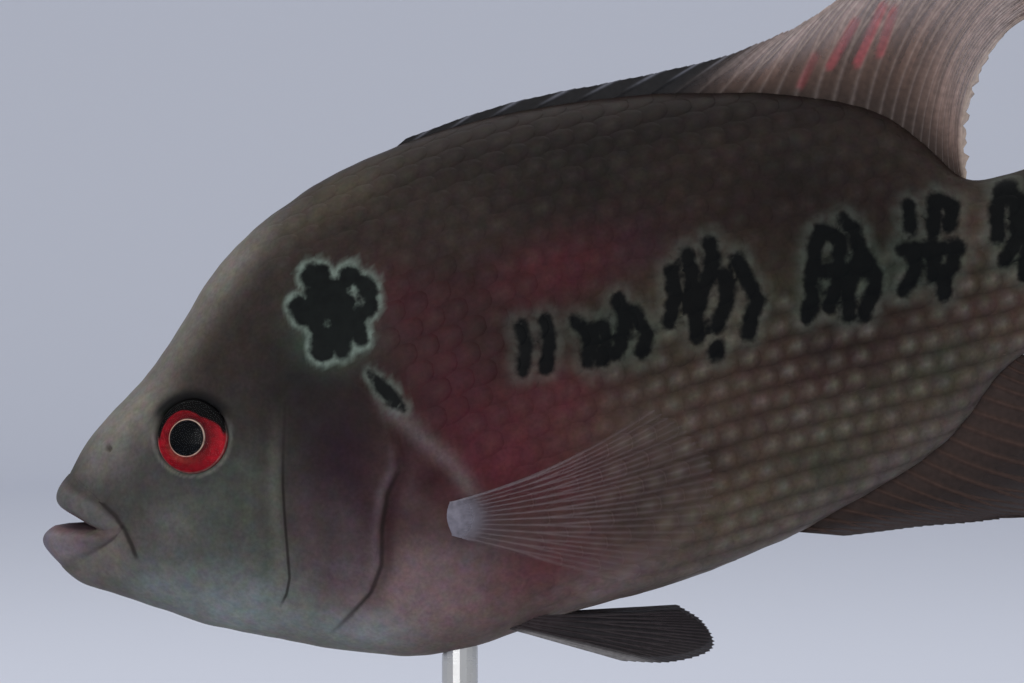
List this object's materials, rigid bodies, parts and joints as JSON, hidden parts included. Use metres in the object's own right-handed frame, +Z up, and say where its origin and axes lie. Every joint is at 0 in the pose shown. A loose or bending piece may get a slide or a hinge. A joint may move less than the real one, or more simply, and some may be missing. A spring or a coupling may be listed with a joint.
{
  "type": "flowerhorn cichlid model",
  "caption": "Life-size still model of a deep-bodied cichlid held nose-down on a rod above a flat base, fins spread and mouth a little open.",
  "frame": {"origin": "middle of the bounding box's underside, on the plane the base stands on", "axes": "+X from the snout towards the tail, +Y from the fish's left side to its right, +Z up"},
  "size_m": [0.2588, 0.104, 0.1771],
  "materials": {
    "skin": "satin",
    "eye": "gloss",
    "fin": "satin",
    "base": "satin pale lacquer",
    "rod": "brushed"
  },
  "bodies": {
    "root": {"head": "skin", "lower_jaw": "skin", "trunk": "skin", "tail_stem": "skin", "gill_cover_left": "skin", "gill_cover_right": "skin", "eye_left": "eye", "eye_right": "eye", "dorsal_fin": "fin", "anal_fin": "fin", "tail_fin": "fin", "pectoral_fin_left": "fin", "pectoral_fin_right": "fin", "pelvic_fin_left": "fin", "pelvic_fin_right": "fin", "stand_base": "base", "stand_rod": "rod"}
  },
  "joints": []
}
